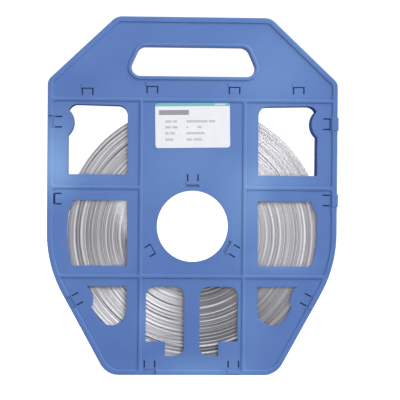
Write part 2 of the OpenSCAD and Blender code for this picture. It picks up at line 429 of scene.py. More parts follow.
# Painted light: pools where the plastic is painted paler, and one painted shade (below 0), each
# with its middle across and up, its half width and its half height in mm, and how much paler it is
PAINTED_LIGHT_POOLS = (
    (-124, 192, 32, 50, 0.80),
    (-100, 178, 65, 24, 0.20),
    (65, 272, 66, 75, 0.27),
    (46, 150, 40, 62, 0.36),
    (58, 196, 22, 75, 0.22),
    (76, 177, 50, 18, 0.30),
    (80, 102, 52, 16, 0.32),
    (-5, 195, 80, 62, 0.22),
    (5, 2, 80, 24, 0.38),
    (-42, 52, 14, 38, 0.30),
    (48, 45, 32, 62, 0.20),
    (-100, 262, 42, 26, -0.14),
)
DEEP_TONE = 0.05
BLOTCH_AMOUNT = 0.10
FLOW_AMOUNT = 0.06
SCUFF_AMOUNT = 0.22
SCUFF_COLOUR = (0.35, 0.45, 0.70)
# Painted shade: the near-black that the leaves behind the slits are darkened towards
PAINTED_SHADE_COLOUR = (0.0, 0.0, 0.02)
# How far the inner walls take the painted inner shade's colour, and how far the dark leaves
# behind the slits take that colour and the painted shade
WALL_INNER_SHADE = 0.55
SHADE_LEAF_TINT, SHADE_LEAF_DARKNESS = 0.7, 0.66


def painted_light_pool(tree, place, across, up, half_width, half_height):
    """1 amid an oval pool of painted light on the front, falling softly to 0 at its edge."""
    around = add_node(
        tree,
        "ShaderNodeMapping",
        values={
            "Location": (across * MM, 0.0, up * MM),
            "Scale": (half_width * MM, 1000.0, half_height * MM),
        },
        links={"Vector": place},
        vector_type="TEXTURE",
    )
    pool = add_node(
        tree,
        "ShaderNodeTexGradient",
        links={"Vector": around.outputs["Vector"]},
        gradient_type="SPHERICAL",
    )
    soft = add_node(
        tree,
        "ShaderNodeMapRange",
        links={"Value": pool.outputs["Fac"]},
        interpolation_type="SMOOTHSTEP",
    )
    return soft.outputs["Result"]


def moulded_plastic(name, settings, lift=0.0, inner_shade=0.0, shade=0.0):
    """Semi-matt moulded plastic: broad painted light pools, fine grain and a few faint scuffs.

    lift paints it paler all over, as the edges' painted highlight, and inner_shade and shade say
    how far it takes the painted inner shade's colour and the painted shade
    """
    material, tree, shader = new_material(name)
    op = partial(math_of, tree)
    place = object_place(tree)
    blotch = spread(tree, noise(tree, place, 13, 2.0, 0.45), 0.36, 0.66)
    flow = spread(tree, noise(tree, place, 60, 3.0, 0.6), 0.3, 0.7)
    tone = op("MULTIPLY_ADD", blotch, BLOTCH_AMOUNT, DEEP_TONE + lift)
    tone = op("MULTIPLY_ADD", flow, FLOW_AMOUNT, tone)
    # Painted light: pools where the plastic is painted paler, and one of painted shade
    for *area, amount in PAINTED_LIGHT_POOLS:
        tone = op("MULTIPLY_ADD", painted_light_pool(tree, place, *area), amount, tone)
    tone = spread(tree, tone, 0.0, 1.0)
    colour = mixed(tree, tone, settings.plastic, settings.pale_and_lit_plastic)
    if inner_shade:
        colour = mixed(tree, inner_shade, colour, settings.inner_shade)
    if shade:
        colour = mixed(tree, shade, colour, PAINTED_SHADE_COLOUR)

    stretched = add_node(
        tree,
        "ShaderNodeMapping",
        values={"Rotation": (0.0, 0.9, 0.0), "Scale": (900.0, 300.0, 60.0)},
        links={"Vector": place},
    ).outputs["Vector"]
    scuff = spread(tree, noise(tree, stretched, 1.0, 3.0, 0.7), 0.66, 0.78)
    worn = op("MULTIPLY", scuff, spread(tree, noise(tree, place, 22), 0.5, 0.7))
    colour = mixed(tree, op("MULTIPLY", worn, SCUFF_AMOUNT), colour, SCUFF_COLOUR)
    tree.links.new(colour, shader.inputs["Base Color"])

    rough = spread(tree, noise(tree, place, 140, 3.0, 0.6), 0.3, 0.7, 0.40, 0.52)
    rough = op("MULTIPLY_ADD", worn, 0.15, rough)
    tree.links.new(rough, shader.inputs["Roughness"])
    shader.inputs["IOR"].default_value = 1.49
    shader.inputs["Specular IOR Level"].default_value = 0.28

    grain = noise(tree, place, 2600, 2.0, 0.6)
    dent = noise(tree, place, 45, 1.0, 0.4)
    height = op("MULTIPLY_ADD", dent, 8.0, grain)
    bumped(tree, shader, height, 0.03 * MM, 0.6)
    return material


DARK_STEEL = (0.19, 0.19, 0.21)
BRIGHT_STEEL = (0.94, 0.93, 0.96)
MARK_AMOUNT = 0.10
FINE_AMOUNT = 0.04


def banding_steel():
    """Rolled stainless steel: its turns' own tones and painted sheen, and fine marks along them.
    """
    material, tree, shader = new_material("brushed_band_steel")
    tone = add_node(tree, "ShaderNodeAttribute", attribute_name="strand_tone_and_sheen").outputs["Fac"]
    along = add_node(tree, "ShaderNodeAttribute", attribute_name="strand_way").outputs["Vector"]
    marks = noise(tree, along, 1.0, 4.0, 0.65)
    fine = noise(tree, object_place(tree), 900, 2.0, 0.6)
    for pattern, amount in ((marks, MARK_AMOUNT), (fine, FINE_AMOUNT)):
        pattern = spread(tree, pattern, 0.3, 0.7, -1, 1)
        tone = math_of(tree, "MULTIPLY_ADD", pattern, amount, tone)
    colour = mixed(tree, spread(tree, tone, 0.0, 1.0), DARK_STEEL, BRIGHT_STEEL)
    tree.links.new(colour, shader.inputs["Base Color"])
    shader.inputs["Metallic"].default_value = 1.0
    rough = spread(tree, marks, 0.3, 0.7, 0.42, 0.56)
    tree.links.new(rough, shader.inputs["Roughness"])
    bumped(tree, shader, marks, 0.02 * MM, 0.4)
    return material


# The label's print, in shares of its width from the left and of its height from the top.
# Each row has the height of its middle and the spans of its words, and each block its left,
# right, top and bottom. The heading band runs past three edges
PRINTED_ROWS = (
    (0.410, ((0.130, 0.215), (0.235, 0.290), (0.415, 0.700), (0.715, 0.800))),
    (0.540, ((0.130, 0.205), (0.225, 0.300), (0.415, 0.435), (0.565, 0.620))),
    (0.675, ((0.130, 0.175), (0.195, 0.265), (0.415, 0.660))),
    (0.815, ((0.130, 0.240), (0.415, 0.490), (0.510, 0.620))),
)
ROW_HEIGHT = 0.052
STROKE = 1.35 * MM
STROKE_SHARE = 0.72
ROW_INK = 0.62
TITLE_BLOCK, TITLE_INK = (0.05, 0.45, 0.155, 0.265), 0.82
HEADING_BLOCK = (-1, 2, -1, 0.072)
PLATE_BLOCK, PLATE_SHARE = (0.80, 0.94, 0.018, 0.05), 0.6


def printed_paper(settings):
    """Coated label paper with a tinted heading band and rows of generic bars."""
    material, tree, shader = new_material("printed_label_paper")
    on_label = add_node(
        tree,
        "ShaderNodeMapping",
        values={
            "Location": (LABEL_LOW + LABEL_HIGH) / 2,
            "Rotation": (0.0, -LABEL_TURN, 0.0),
            "Scale": (LABEL_WIDTH, 1.0, LABEL_HEIGHT),
        },
        links={"Vector": object_place(tree)},
        vector_type="TEXTURE",
    )
    split = add_node(tree, "ShaderNodeSeparateXYZ", links={"Vector": on_label.outputs["Vector"]})
    op = partial(math_of, tree)
    across = op("ADD", split.outputs["X"], 0.5)
    down = op("SUBTRACT", 0.5, split.outputs["Z"])

    def within(source, low, high):
        """1 where a number lies between two others, and 0 elsewhere"""
        above = op("GREATER_THAN", source, low)
        return op("MULTIPLY", above, op("LESS_THAN", source, high))

    def block(left, right, top, bottom):
        """1 on a rectangle of the label, and 0 elsewhere"""
        return op("MULTIPLY", within(across, left, right), within(down, top, bottom))

    stroke_count = op("MULTIPLY", across, LABEL_WIDTH / STROKE)
    strokes = op("LESS_THAN", op("FRACT", stroke_count), STROKE_SHARE)
    printed = 0.0
    for middle, words in PRINTED_ROWS:
        row = 0.0
        for left, right in words:
            row = op("MAXIMUM", row, within(across, left, right))
        height = within(down, middle - ROW_HEIGHT / 2, middle + ROW_HEIGHT / 2)
        printed = op("MAXIMUM", printed, op("MULTIPLY", row, height))
    printed = op("MULTIPLY", printed, strokes)

    mottle = noise(tree, object_place(tree), 60, 3.0, 0.6)
    duller = [c * 0.94 for c in settings.paper]
    colour = mixed(tree, spread(tree, mottle, 0.3, 0.7), settings.paper, duller)
    colour = mixed(tree, op("MULTIPLY", printed, ROW_INK), colour, settings.ink)
    colour = mixed(tree, op("MULTIPLY", block(*TITLE_BLOCK), TITLE_INK), colour, settings.ink)
    colour = mixed(tree, block(*HEADING_BLOCK), colour, settings.heading)
    colour = mixed(tree, op("MULTIPLY", block(*PLATE_BLOCK), PLATE_SHARE), colour, settings.paper)
    tree.links.new(colour, shader.inputs["Base Color"])
    rough = spread(tree, mottle, 0.3, 0.7, 0.42, 0.55)
    tree.links.new(rough, shader.inputs["Roughness"])
    bumped(tree, shader, noise(tree, object_place(tree), 700, 3.0, 0.6), 0.02 * MM, 0.5)
    return material


# ---------------------------------------------------------------- half shells


# Depths are distances from the seam between the halves. Corners this near lie on the seam
SEAM_DEPTH = 0.1 * MM
# Front and back of the thin dark leaves behind the slits, which stand there as painted shade
SHADE_LEAF_DEPTHS = (8.9 * MM, 8.7 * MM)
# A wall that comes nearer to the seam than this takes the painted inner shade
INNER_SHADE_DEPTH = 9.5 * MM
# The sunk seats' floors lie between these, and the panel and the rim's top at these
POCKET_DEPTHS = (10.2 * MM, 10.8 * MM)
PANEL_DEPTH = 11.0 * MM
RIM_DEPTH = 12.2 * MM
# Play of a level, of a place on an edge or an outline, and of the ends of a level edge
NEAR = 0.1 * MM
TOUCH = 0.02 * MM
EVEN = 0.01 * MM
# Corners this close are one
WELD = 0.001 * MM
# A smaller cut has small roundings and a dark leaf of painted shade behind it
SMALL_CUT = 18 * MM
# Faces that meet at less than FLAT are one face, and where they meet at SHARP is an edge
FLAT = math.radians(0.6)
SHARP = math.radians(28)
LONGEST_SIDE = 4 * MM
# An edge is turned where the two angles that face it come to more than this
FACING_ANGLES = math.pi + 0.01
FLIP_ROUNDS = 30
BEVEL_STEPS = 3
# Places among the materials of the plastic with the edges' painted highlight, the plastic with
# the painted inner shade, and the painted shade on the dark leaves behind the slits
EDGE_SLOT, INNER_SHADE_SLOT, SHADE_LEAF_SLOT = 1, 2, 3


def depth(vert):
    """How far a corner lies from the seam."""
    return abs(vert.co.y)


def convex_ring(points):
    """Corners of the tightest convex outline round some points, seen from the front."""
    places = sorted(set((round(p.x, 7), round(p.z, 7)) for p in points))

    def half(ordered):
        chain = []
        for p in ordered:
            while len(chain) > 1 and (
                (chain[-1][0] - chain[-2][0]) * (p[1] - chain[-2][1])
                - (chain[-1][1] - chain[-2][1]) * (p[0] - chain[-2][0])
            ) <= 0:
                chain.pop()
            chain.append(p)
        return chain[:-1]

    return [Vector(p) for p in half(places) + half(places[::-1])]


def gap_to_span(place, start, end):
    """Distance from a place to the straight piece between two others."""
    along = end - start
    share = max(0.0, min(1.0, (place - start).dot(along) / along.length_squared))
    return (start + along * share - place).length


def outline_test(points):
    """Says whether a point lies on the case's outline, which is convex seen from the front."""
    ring = convex_ring(points)
    sides = list(zip(ring, ring[1:] + ring[:1]))

    def on_outline(p):
        place = Vector((p.x, p.z))
        return any(gap_to_span(place, a, b) < TOUCH for a, b in sides)

    return on_outline


def joined_edges(edges):
    """Groups of edges that hang together, in the order in which the edges come."""
    left = set(edges)
    groups = []
    for first in edges:
        if first not in left:
            continue
        left.remove(first)
        reached = [first]
        for edge in reached:
            for vert in edge.verts:
                for other in vert.link_edges:
                    if other in left:
                        left.remove(other)
                        reached.append(other)
        groups.append(reached)
    return groups


def group_size(edges):
    """How far a group of edges reaches across or up, whichever is more."""
    places = [v.co for edge in edges for v in edge.verts]
    across, up = [p.x for p in places], [p.z for p in places]
    return max(max(across) - min(across), max(up) - min(up))


def part_long_edges(bm):
    """Parts the long edges across the front, so that the triangles beside them are well shaped."""
    for edge in list(bm.edges):
        start, end = edge.verts
        if abs(start.co.y - end.co.y) > EVEN or edge.calc_face_angle(0) < FLAT:
            continue
        for left in range(math.ceil(edge.calc_length() / LONGEST_SIDE), 1, -1):
            added, middle = bmesh.utils.edge_split(edge, start, 1 / left)
            edge = edge if start in added.verts else added
            start = middle


def even_triangles(bm):
    """Turns edges within flat areas until no triangle is thinner than it needs to be."""
    for _ in range(FLIP_ROUNDS):
        turned = 0
        for edge in [e for e in bm.edges if e.calc_face_angle(0) < FLAT]:
            start, end = edge.verts
            facing = 0
            for face in edge.link_faces:
                tip = next(v.co for v in face.verts if v not in edge.verts)
                facing += (start.co - tip).angle(end.co - tip, 0)
            if facing > FACING_ANGLES and bmesh.utils.edge_rotate(edge, True):
                turned += 1
        if not turned:
            return


def even_mesh(bm):
    """Joins the corners and flat faces of a CAD mesh, and parts it again evenly."""
    bmesh.ops.remove_doubles(bm, verts=bm.verts, dist=WELD)
    bmesh.ops.dissolve_limit(bm, angle_limit=FLAT, verts=bm.verts, edges=bm.edges)
    part_long_edges(bm)
    bmesh.ops.triangulate(bm, faces=bm.faces)
    even_triangles(bm)


def room_beside(edge, places):
    """Distance from an edge to the nearest of some places, other than its own ends."""
    start, end = (v.co for v in edge.verts)
    gaps = (gap_to_span(place, start, end) for place in places)
    return min((gap for gap in gaps if gap > TOUCH), default=math.inf)


def shade_leaf_behind(bm, edges, side):
    """A thin dark leaf just behind the panel that closes a slit from within, as painted shade."""
    ring = convex_ring([v.co for edge in edges for v in edge.verts])
    front, back = (
        [bm.verts.new((p.x, side * level, p.y)) for p in ring] for level in SHADE_LEAF_DEPTHS
    )
    faces = [bm.faces.new(front if side < 0 else front[::-1])]
    faces.append(bm.faces.new(back[::-1] if side < 0 else back))
    for i in range(len(ring)):
        corners = [front[i - 1], back[i - 1], back[i], front[i]]
        faces.append(bm.faces.new(corners if side < 0 else corners[::-1]))
    for face in faces:
        face.material_index = SHADE_LEAF_SLOT
        for edge in face.edges:
            edge.smooth = False


def outer_edges(bm):
    """Makes every sharp edge a crease, and gives those that stand out."""
    found = []
    for edge in bm.edges:
        edge.smooth = not edge.is_manifold or edge.calc_face_angle(0) < SHARP
        if not edge.smooth and edge.is_convex:
            found.append(edge)
    return found


def broken_corners(bm):
    """Corners on the rim where a raised or a sunk seat breaks it."""

    def is_broken(vert):
        beside = [depth(edge.other_vert(vert)) for edge in vert.link_edges]
        return abs(depth(vert) - RIM_DEPTH) < NEAR / 2 and any(
            d > RIM_DEPTH + NEAR or POCKET_DEPTHS[0] < d < POCKET_DEPTHS[1] for d in beside
        )

    return {vert for vert in bm.verts if is_broken(vert)}


def edge_radii(edges, outline, broken, settings):
    """Radius of each edge that stands out, and the groups of edges of the small cuts."""
    radii, rim_radii, panel_edges = {}, {}, []
    obstacles = [v.co for v in broken]
    for edge in edges:
        low, high = sorted(depth(v) for v in edge.verts)
        below = min(depth(v) for face in edge.link_faces for v in face.verts)
        on_outline = all(outline[v] for v in edge.verts)
        if high > RIM_DEPTH + NEAR:
            radii[edge] = settings.seat_round
        elif low > RIM_DEPTH - NEAR and POCKET_DEPTHS[0] < below < POCKET_DEPTHS[1]:
            radii[edge] = settings.pocket_round
        elif low > RIM_DEPTH - NEAR:
            radius = settings.rim_round if on_outline else settings.rib_round
            rim_radii[edge] = min(radius, 0.5 * room_beside(edge, obstacles))
        elif on_outline and high < SEAM_DEPTH:
            radii[edge] = settings.seam_round
        elif low > PANEL_DEPTH - NEAR:
            panel_edges.append(edge)

    # No rim edge is rounder than its neighbours, and none is round where a seat breaks it
    for edge in rim_radii:
        beside = [e for v in edge.verts for e in v.link_edges if e in rim_radii]
        radii[edge] = min(rim_radii[e] for e in beside)
        if any(v in broken for v in edge.verts):
            radii[edge] = min(radii[edge], settings.pocket_round)

    cuts = joined_edges(panel_edges)
    small_cuts = [group for group in cuts if group_size(group) < SMALL_CUT]
    radii.update((edge, settings.edge_round) for edge in panel_edges)
    radii.update((edge, settings.slit_round) for group in small_cuts for edge in group)
    return radii, small_cuts


def rounded_half(node, settings):
    """A merged copy of a CAD half shell with its outer edges rounded."""
    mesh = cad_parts[node].data.copy()
    mesh.name = node + "_rounded"
    mesh.materials.clear()
    piece = bpy.data.objects.new(node + "_rounded", mesh)
    bpy.context.scene.collection.objects.link(piece)
    bm = bmesh.new()
    bm.from_mesh(mesh)
    even_mesh(bm)

    on_outline = outline_test([v.co for v in bm.verts if depth(v) < SEAM_DEPTH])
    outline = {v: on_outline(v.co) for v in bm.verts}
    weight = bm.edges.layers.float.new("bevel_weight_edge")
    widest = max(settings.rim_round, settings.rib_round)
    radii, small_cuts = edge_radii(outer_edges(bm), outline, broken_corners(bm), settings)
    for edge, radius in radii.items():
        edge[weight] = radius / widest
        edge.smooth = True
    for face in bm.faces:
        face.smooth = True
        deepest = min(depth(v) for v in face.verts)
        # Inner walls take the plastic with painted shade and glow
        if deepest < INNER_SHADE_DEPTH and not all(outline[v] for v in face.verts):
            face.material_index = INNER_SHADE_SLOT
    # Painted shade: a dark leaf behind each small cut
    for group in small_cuts:
        shade_leaf_behind(bm, group, -1 if node == "front_half" else 1)
    bm.to_mesh(mesh)
    bm.free()

    bevel = piece.modifiers.new("Rounded edges", "BEVEL")
    bevel.limit_method = "WEIGHT"
    bevel.width = widest
    bevel.segments = BEVEL_STEPS
    bevel.use_clamp_overlap = False
    bevel.loop_slide = False
    # The rounded edges take the plastic with the painted highlight
    bevel.material = EDGE_SLOT
    even = piece.modifiers.new("Even faces", "WEIGHTED_NORMAL")
    even.keep_sharp = True
    return piece


def made_plain(piece, name):
    """Replaces a piece by the plain mesh that its modifiers make of it."""
    bpy.context.view_layer.update()
    depsgraph = bpy.context.evaluated_depsgraph_get()
    mesh = bpy.data.meshes.new_from_object(piece.evaluated_get(depsgraph))
    mesh.name = name
    piece.modifiers.clear()
    piece.data = mesh
    piece.name = name


class BANDING_OT_half_shells(bpy.types.Operator):
    """Round the edges of the two half shells and give them their plastic"""

    bl_idname = "banding.half_shells"
    bl_label = "Half shells"

    def execute(self, context):
        settings = context.scene.banding_case
        face = moulded_plastic("moulded_case_plastic", settings)
        # The same plastic painted paler: a painted highlight on the rounded edges
        edge = moulded_plastic("edge_highlight_plastic", settings, settings.edge_highlight)
        # The plastic with painted shade and glow, for the inner walls
        inside = moulded_plastic("painted_inner_shade_plastic", settings, inner_shade=WALL_INNER_SHADE)
        # The plastic darkened nearly to black: painted shade for the leaves behind the slits
        slit_shade = moulded_plastic(
            "painted_slit_shade_plastic", settings, inner_shade=SHADE_LEAF_TINT, shade=SHADE_LEAF_DARKNESS
        )
        for node in HALF_SHELLS:
            piece = rounded_half(node, settings)
            # In the order of the slots of the edges' painted highlight, the painted inner shade
            # and the leaves' painted shade
            for material in (face, edge, inside, slit_shade):
                piece.data.materials.append(material)
            made_plain(piece, node + "_rounded")
            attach(piece, "root")
            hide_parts(node)
        return {"FINISHED"}


# ---------------------------------------------------------------- coil of band


# The wound band's inputs in metres, each with its kind, its default and its lowest value
BAND_INPUTS = (
    ("Turns", "NodeSocketInt", 147, 1),
    ("Points", "NodeSocketInt", 12300, 10),
    ("Bore Radius", "NodeSocketFloat", 0.05, 0.001),
    ("Outer Radius", "NodeSocketFloat", 0.12, 0.002),
    ("Thickness", "NodeSocketFloat", 0.0004, 0.0001),
    ("Width", "NodeSocketFloat", 0.016, 0.001),
    ("Stagger", "NodeSocketFloat", 0.0004, 0.0),
    ("Seed", "NodeSocketInt", 7, 0),
    ("Centre", "NodeSocketVector", None, None),
    ("Material", "NodeSocketMaterial", None, None),
)
# The shares of a turn where the first turn starts, counted from the coil's right, and where
# each turn begins to cross to the next one's place. Both lie behind the label
START_TURN = 0.305
CROSSING_START = 0.89
# Turns that lie together, and the chance above which a pair stands proud
PAIR, WIDE_GROUP = 2.0, 9.0
PROUD_ABOVE = 0.82
# Directions from the coil's middle, anticlockwise from its right when seen from the front:
# the broad painted sheen's, and those of the sectors with painted light or shade of their own
SHEEN_TURN = math.radians(55)
FOOT_TURN = math.radians(250)
PALE_TURN = math.radians(125)
BRIGHT_TURN = math.radians(45)
DARK_TURN = math.radians(284)
MIDDLE_TONE = 0.80
# Turns from one painted dark line to the next, how far that varies, and the share of the
# spacing in which it falls
LINE_SPACING = 6.6
LINE_SHIFT = 1.8
LINE_SHARE = 0.17
EVEN_LINE_SPACING = 7
SECTION_CORNERS = 8


def band_inputs(tree):
    """Gives the tree its sockets, and returns what comes in through them."""
    for name, kind, default, low in BAND_INPUTS:
        socket = tree.interface.new_socket(name=name, in_out="INPUT", socket_type=kind)
        if default is not None:
            socket.default_value = default
            socket.min_value = low
    tree.interface.new_socket(name="Geometry", in_out="OUTPUT", socket_type="NodeSocketGeometry")
    return tree.nodes.new("NodeGroupInput").outputs


def chance(tree, given, number, seed_step):
    """A chance number between 0 and 1 for each whole number."""
    seed = math_of(tree, "ADD", given["Seed"], seed_step)
    links = {"ID": number, "Seed": seed}
    return add_node(tree, "FunctionNodeRandomValue", links=links, data_type="FLOAT").outputs[1]


def combined(tree, *terms):
    """Vector of up to three numbers."""
    node = tree.nodes.new("ShaderNodeCombineXYZ")
    for term, socket in zip(terms, node.inputs):
        tree.links.new(term, socket)
    return node.outputs[0]


def spiral(tree, given):
    """Radius and turn of each point, in equal steps of length along a spiral."""
    op = partial(math_of, tree)
    index = tree.nodes.new("GeometryNodeInputIndex").outputs[0]
    share = op("DIVIDE", index, op("SUBTRACT", given["Points"], 1.0))
    half_thick = op("MULTIPLY", given["Thickness"], 0.5)
    first = op("ADD", given["Bore Radius"], half_thick)
    last = op("SUBTRACT", given["Outer Radius"], half_thick)
    first_square = op("MULTIPLY", first, first)
    grown = op("MULTIPLY", share, op("SUBTRACT", op("MULTIPLY", last, last), first_square))
    radius = op("SQRT", op("ADD", first_square, grown))
    wound = op("DIVIDE", op("SUBTRACT", radius, first), op("SUBTRACT", last, first))
    return radius, op("MULTIPLY", wound, given["Turns"])


def side_offset(tree, given, turn):
    """How far each point lies to one side, as each turn has its own place across the coil."""
    op = partial(math_of, tree)

    def side_place(number):
        """Groups of turns lie together, some well proud, and each turn a hair different"""
        group = op("FLOOR", op("DIVIDE", number, PAIR))
        wide = op("FLOOR", op("DIVIDE", number, WIDE_GROUP))
        proud = op("GREATER_THAN", chance(tree, given, group, 1), PROUD_ABOVE)
        body = op("MULTIPLY_ADD", chance(tree, given, group, 2), 0.9, -0.75)
        body = op("MULTIPLY_ADD", chance(tree, given, wide, 5), 0.25, body)
        lone = op("MULTIPLY_ADD", chance(tree, given, number, 3), 0.36, -0.18)
        mix = op("ADD", op("MULTIPLY", body, op("SUBTRACT", 1.0, proud)), proud)
        return op("MINIMUM", op("MAXIMUM", op("ADD", mix, lone), -1.0), 1.0)

    passing = add_node(
        tree,
        "ShaderNodeMapRange",
        values={"From Min": CROSSING_START, "From Max": 1.0},
        links={"Value": op("FRACT", turn)},
        interpolation_type="SMOOTHSTEP",
    ).outputs["Result"]
    count = op("FLOOR", turn)
    here, there = side_place(count), side_place(op("ADD", count, 1.0))
    side = op("MULTIPLY_ADD", op("SUBTRACT", there, here), passing, here)
    return op("MULTIPLY", side, given["Stagger"])


def tone_and_painted_sheen(tree, given, angle, count):
    """Tone of each point: its turn's own, and painted sheen and shade over the coil's whole end.
    """
    op = partial(math_of, tree)

    def towards(way):
        """1 where the coil's end faces that way from its middle, and soon 0 beside it"""
        ahead = op("MAXIMUM", op("COSINE", op("SUBTRACT", angle, way)), 0.0)
        return op("POWER", ahead, 4.0)

    def even_chance(size, seed_step):
        """A number between -1 and 1 for each group of so many turns"""
        number = chance(tree, given, op("FLOOR", op("DIVIDE", count, size)), seed_step)
        return op("MULTIPLY_ADD", number, 2.0, -1.0)

    foot, dark, pale = towards(FOOT_TURN), towards(DARK_TURN), towards(PALE_TURN)
    sides = op("ADD", towards(0.0), towards(math.pi))
    strand_terms = (
        (even_chance(PAIR, 7), 0.05),
        (even_chance(1.0, 11), 0.16),
        (even_chance(WIDE_GROUP, 5), 0.04),
    )
    # Painted sheen, light and shade by direction round the coil's end
    sheen_terms = (
        (op("COSINE", op("MULTIPLY", op("SUBTRACT", angle, SHEEN_TURN), 2.0)), -0.06),
        (op("COSINE", op("SUBTRACT", angle, SHEEN_TURN)), 0.02),
        (foot, 0.29),
        (dark, -0.75),
        (pale, 0.16),
        (sides, -0.25),
        (towards(math.pi), -0.14),
    )
    strands, tone = 0.0, MIDDLE_TONE
    for term, weight in strand_terms:
        strands = op("MULTIPLY_ADD", term, weight, strands)
    for term, weight in sheen_terms:
        tone = op("MULTIPLY_ADD", term, weight, tone)

    # Every few turns one is a painted dark line, and a painted highlight on the darker sides
    shift = chance(tree, given, op("FLOOR", op("DIVIDE", count, LINE_SPACING)), 13)
    moved = op("ADD", count, op("MULTIPLY", shift, LINE_SHIFT))
    is_line = op("LESS_THAN", op("FRACT", op("DIVIDE", moved, LINE_SPACING)), LINE_SHARE)
    strength = op("MULTIPLY_ADD", chance(tree, given, count, 17), 0.7, 0.6)
    apart = op("MULTIPLY", is_line, strength)
    highlight_share = op("MULTIPLY_ADD", sides, 0.75, op("POWER", dark, 2.0))
    highlight_share = op("MINIMUM", highlight_share, 1.0)
    strands = op("MULTIPLY_ADD", apart, op("MULTIPLY_ADD", highlight_share, 2.3, -1.1), strands)

    # Finer even lines of painted shade lie at the foot and at the pale side
    even_lines = op("COSINE", op("MULTIPLY", count, 2 * math.pi / EVEN_LINE_SPACING))
    even_lines = op("MULTIPLY", even_lines, op("ADD", foot, pale))
    strands = op("MULTIPLY_ADD", even_lines, 0.16, strands)
    # The turns' tones and painted lines are fainter towards the bright side, stronger at the sides
    contrast = op("MULTIPLY_ADD", towards(BRIGHT_TURN), -0.70, 1.0)
    contrast = op("MULTIPLY_ADD", sides, 0.25, contrast)
    contrast = op("MULTIPLY_ADD", pale, 0.35, contrast)
    return op("MULTIPLY_ADD", strands, contrast, tone)


def band_section(tree, given):
    """Cross-section of the band, with its two edges rounded."""
    op = partial(math_of, tree)
    ring = tree.nodes.new("GeometryNodeCurvePrimitiveCircle")
    ring.inputs["Resolution"].default_value = SECTION_CORNERS
    index = tree.nodes.new("GeometryNodeInputIndex").outputs[0]
    around = op("MULTIPLY", op("ADD", index, 0.5), 2 * math.pi / SECTION_CORNERS)
    sine = op("SINE", around)
    half_thick = op("MULTIPLY", given["Thickness"], 0.5)
    flat_half = op("MULTIPLY", op("SUBTRACT", given["Width"], given["Thickness"]), 0.5)
    place = combined(
        tree,
        op("MULTIPLY", op("COSINE", around), half_thick),
        op("MULTIPLY_ADD", sine, half_thick, op("MULTIPLY", op("SIGN", sine), flat_half)),
    )
    links = {"Geometry": ring.outputs[0], "Position": place}
    return add_node(tree, "GeometryNodeSetPosition", links=links).outputs[0]


def wound_band_tree():
    """Geometry Nodes: one band with rounded edges, wound turn on turn round its own axis."""
    tree = bpy.data.node_groups.new("Wound Band", "GeometryNodeTree")
    tree.is_modifier = True
    op = partial(math_of, tree)

    def changed(kind, geometry, values=None, **links):
        """Geometry after a node, whose further inputs are linked by name"""
        links = {"Geometry": geometry, **links}
        return add_node(tree, kind, values=values, links=links).outputs[0]

    def kept(geometry, name, kind, value):
        """Geometry with a value kept on its points under a name"""
        node = add_node(
            tree,
            "GeometryNodeStoreNamedAttribute",
            values={"Name": name},
            links={"Geometry": geometry},
            data_type=kind,
            domain="POINT",
        )
        tree.links.new(value, node.inputs["Value"])
        return node.outputs[0]

    given = band_inputs(tree)
    radius, turn = spiral(tree, given)
    angle = op("MULTIPLY", op("ADD", turn, START_TURN), 2 * math.pi)
    count = op("FLOOR", turn)
    spot = combined(
        tree,
        op("MULTIPLY", radius, op("COSINE", angle)),
        op("MULTIPLY", radius, op("SINE", angle)),
        side_offset(tree, given, turn),
    )
    line = tree.nodes.new("GeometryNodeCurvePrimitiveLine").outputs[0]
    points = add_node(
        tree, "GeometryNodeResampleCurve", links={"Curve": line, "Count": given["Points"]}
    )
    placed = changed("GeometryNodeSetPosition", points.outputs[0], Position=spot)
    upright = add_node(
        tree, "GeometryNodeSetCurveNormal", links={"Curve": placed}, mode="Z_UP"
    ).outputs[0]
    # Each turn's tone with the painted sheen, light and shade over the coil's end
    marked = kept(upright, "strand_tone_and_sheen", "FLOAT", tone_and_painted_sheen(tree, given, angle, count))
    way = combined(tree, op("MULTIPLY", turn, 2.6), op("MULTIPLY", count, 3.7))
    marked = kept(marked, "strand_way", "FLOAT_VECTOR", way)

    swept = add_node(
        tree,
        "GeometryNodeCurveToMesh",
        values={"Fill Caps": True},
        links={"Curve": marked, "Profile Curve": band_section(tree, given)},
    ).outputs[0]
    on_edge = {"Rotation": (math.pi / 2, 0.0, 0.0)}
    stood = changed("GeometryNodeTransform", swept, on_edge, Translation=given["Centre"])
    real = changed("GeometryNodeRealizeInstances", stood)
    coated = changed("GeometryNodeSetMaterial", real, Material=given["Material"])
    end = tree.nodes.new("NodeGroupOutput")
    tree.links.new(coated, end.inputs[0])
    return tree


class BANDING_OT_coil(bpy.types.Operator):
    """Wind the steel band, turn on turn, where the case holds it"""

    bl_idname = "banding.coil"
    bl_label = "Coil of band"

    def execute(self, context):
        settings = context.scene.banding_band
        piece = bpy.data.objects.new("wound_band", bpy.data.meshes.new("wound_band"))
        context.scene.collection.objects.link(piece)
        modifier = piece.modifiers.new("Wound band", "NODES")
        tree = wound_band_tree()
        modifier.node_group = tree
        values = {
            "Turns": settings.turns,
            "Points": settings.points,
            "Bore Radius": COIL_BORE,
            "Outer Radius": (COIL_HIGH.x - COIL_LOW.x) / 2,
            "Thickness": settings.thickness,
            "Width": settings.width,
            "Stagger": settings.stagger,
            "Seed": settings.seed,
            "Centre": COIL_CENTRE,
            "Material": banding_steel(),
        }
        for socket in tree.interface.items_tree:
            if socket.in_out == "INPUT":
                modifier[socket.identifier] = values[socket.name]
        made_plain(piece, "wound_band")
        for polygon in piece.data.polygons:
            polygon.use_smooth = True
        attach(piece, "root")
        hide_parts("band_coil")
        return {"FINISHED"}


# ---------------------------------------------------------------- label


